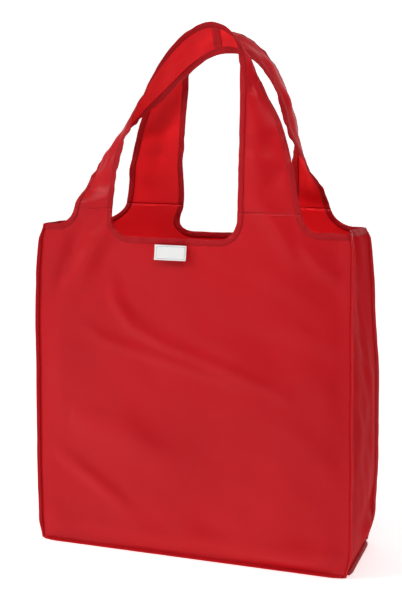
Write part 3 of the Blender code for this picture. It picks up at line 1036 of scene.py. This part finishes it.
def build_label():
    """A blank woven label, sewn along its top edge and lifting a little at its foot."""
    low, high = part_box("label")
    width, top = high.x - low.x, high.z / math.cos(LEAN)
    tall = (high.z - low.z) / math.cos(LEAN)
    centre = (low.x + high.x) / 2.0

    def place(share, drop, out=0.0):
        x = centre + (share - 0.5) * width
        curl = 0.0022 * drop ** 2.2 + 0.0005 * math.sin(math.pi * share) * drop
        return on_panel(x, 0.0042 + curl + out + sizes().belly * 0.35, top - drop * tall)

    rows, flats = [], []
    for i in range(19):
        drop = i / 18.0
        rows.append([place(j / 30.0, drop) for j in range(31)])
        flats.append([(width * j / 30.0, tall * drop) for j in range(31)])
    cloth = sheet_from_rows("blank_label", rows, flats, [label_material(), label_material()])
    outward(cloth, Vector((0.0, -1.0, 0.0)))
    thicken(cloth, 0.0006, 0)
    inset = 0.055
    corners = ((inset, 0.10), (1.0 - inset, 0.10), (1.0 - inset, 0.90), (inset, 0.90), (inset, 0.10))
    line = []
    for (a, b), (c, d) in zip(corners, corners[1:]):
        for n in range(24):
            line.append(place(a + (c - a) * n / 24.0, b + (d - b) * n / 24.0, 0.00035))
    mesh = bmesh.new()
    mesh.loops.layers.uv.new("flat")
    facing = [PANEL_OUT] * len(line)
    add_stitches(mesh, line, facing, (1.0,), 0.0016, 0.00005)
    grey = cloth_material("label_thread", (0.42, 0.42, 0.41, 1.0), 0.6, weave=6000.0)
    frame_line = finish_mesh("label_border", mesh, [grey, grey])
    for piece in (cloth, frame_line):
        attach(piece, "label")
    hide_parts("label")


# ---------------------------------------------------------------- stage


def area_light(name, place, target, size, power):
    """A soft rectangular light turned to its target."""
    data = bpy.data.lights.new(name, "AREA")
    data.shape = "RECTANGLE"
    data.size, data.size_y = size
    data.energy = power
    obj = bpy.data.objects.new(name, data)
    obj.location = place
    obj.rotation_mode = "QUATERNION"
    obj.rotation_quaternion = (Vector(target) - Vector(place)).to_track_quat("-Z", "Y")
    bpy.context.scene.collection.objects.link(obj)
    return obj


def build_stage():
    """The swept floor, the lights, the world and the camera."""
    profile = [(FLOOR_FRONT, 0.0), (SWEEP_START, 0.0)]
    for n in range(1, 25):
        turn = math.pi / 2.0 * n / 24.0
        y = SWEEP_START + SWEEP_RADIUS * math.sin(turn)
        profile.append((y, SWEEP_RADIUS - SWEEP_RADIUS * math.cos(turn)))
    profile.append((SWEEP_START + SWEEP_RADIUS, BACKDROP_TOP))
    corners = [(x, y, z) for y, z in profile for x in (-FLOOR_HALF, FLOOR_HALF)]
    faces = [(2 * n, 2 * n + 1, 2 * n + 3, 2 * n + 2) for n in range(len(profile) - 1)]
    floor_data = bpy.data.meshes.new("floor")
    floor_data.from_pydata(corners, [], faces)
    for face in floor_data.polygons:
        face.use_smooth = True
    floor = bpy.data.objects.new("floor", floor_data)
    bpy.context.scene.collection.objects.link(floor)
    paint = bpy.data.materials.new("floor_paint")
    paint.use_nodes = True
    shader = paint.node_tree.nodes["Principled BSDF"]
    shader.inputs["Base Color"].default_value = colours().floor
    shader.inputs["Roughness"].default_value = 0.8
    shader.inputs["Specular IOR Level"].default_value = 0.1
    shader.inputs["Emission Color"].default_value = (1.0, 1.0, 1.0, 1.0)
    shader.inputs["Emission Strength"].default_value = FLOOR_GLOW
    floor_data.materials.append(paint)
    lights = [area_light(name, *values) for name, values in LIGHTS.items()]
    lights[-1].data.spread = STRAP_LIGHT_SPREAD
    world = bpy.data.worlds.new("studio")
    world.use_nodes = True
    sky = world.node_tree.nodes["Background"]
    sky.inputs["Color"].default_value = (1.0, 1.0, 1.0, 1.0)
    sky.inputs["Strength"].default_value = SKY_STRENGTH
    bpy.context.scene.world = world
    bpy.context.scene.view_settings.view_transform = "Standard"

    data = bpy.data.cameras.new("camera")
    data.lens = CAMERA_LENS
    data.sensor_width = 36.0
    camera = bpy.data.objects.new("camera", data)
    camera.location = CAMERA_PLACE
    camera.rotation_euler = (math.pi / 2.0 - CAMERA_DOWN, 0.0, CAMERA_TURN)
    bpy.context.scene.collection.objects.link(camera)
    bpy.context.scene.camera = camera


# ---------------------------------------------------------------- operators


class TOTE_OT_panels(bpy.types.Operator):
    """Build both cloth panels with their rim tapes"""

    bl_idname = "tote.panels"
    bl_label = "Panels"

    def execute(self, context):
        for side in SIDES:
            build_panel(side)
        return {"FINISHED"}


class TOTE_OT_straps(bpy.types.Operator):
    """Build both strap handles with their edge tapes"""

    bl_idname = "tote.straps"
    bl_label = "Strap handles"

    def execute(self, context):
        for side in SIDES:
            build_strap(side)
        return {"FINISHED"}


class TOTE_OT_seams(bpy.types.Operator):
    """Build the pinched seams of the corners and the foot"""

    bl_idname = "tote.seams"
    bl_label = "Seams"

    def execute(self, context):
        for side in SIDES:
            build_seams(side)
        return {"FINISHED"}


class TOTE_OT_gussets(bpy.types.Operator):
    """Build the two side gussets with their hem tapes"""

    bl_idname = "tote.gussets"
    bl_label = "Gussets"

    def execute(self, context):
        build_gusset("right", 1.0)
        build_gusset("left", -1.0)
        return {"FINISHED"}


class TOTE_OT_base(bpy.types.Operator):
    """Build the base with its end folds"""

    bl_idname = "tote.base"
    bl_label = "Base"

    def execute(self, context):
        build_base()
        return {"FINISHED"}


class TOTE_OT_label(bpy.types.Operator):
    """Build the blank label"""

    bl_idname = "tote.label"
    bl_label = "Label"

    def execute(self, context):
        build_label()
        return {"FINISHED"}


class TOTE_OT_stage(bpy.types.Operator):
    """Build the floor, lights and camera"""

    bl_idname = "tote.stage"
    bl_label = "Stage"

    def execute(self, context):
        build_stage()
        return {"FINISHED"}


OPERATORS = (
    TOTE_OT_panels,
    TOTE_OT_straps,
    TOTE_OT_seams,
    TOTE_OT_gussets,
    TOTE_OT_base,
    TOTE_OT_label,
    TOTE_OT_stage,
)


class TOTE_PT_sidebar(bpy.types.Panel):
    """Tote bag pieces"""

    bl_idname = "TOTE_PT_sidebar"
    bl_label = "Tote Bag"
    bl_space_type = "VIEW_3D"
    bl_region_type = "UI"
    bl_category = "Tote Bag"

    def draw(self, context):
        for operator in OPERATORS:
            self.layout.operator(operator.bl_idname)


CLASSES = (ToteSizes, ToteColours) + OPERATORS + (TOTE_PT_sidebar,)


def register():
    for made in CLASSES:
        bpy.utils.register_class(made)
    bpy.types.Scene.tote_sizes = bpy.props.PointerProperty(type=ToteSizes)
    bpy.types.Scene.tote_colours = bpy.props.PointerProperty(type=ToteColours)


def unregister():
    del bpy.types.Scene.tote_colours
    del bpy.types.Scene.tote_sizes
    for made in reversed(CLASSES):
        bpy.utils.unregister_class(made)


def main():
    """Build every piece."""
    register()
    bpy.ops.tote.panels()
    bpy.ops.tote.straps()
    bpy.ops.tote.seams()
    bpy.ops.tote.gussets()
    bpy.ops.tote.base()
    bpy.ops.tote.label()
    bpy.ops.tote.stage()


if __name__ == "__main__":
    main()
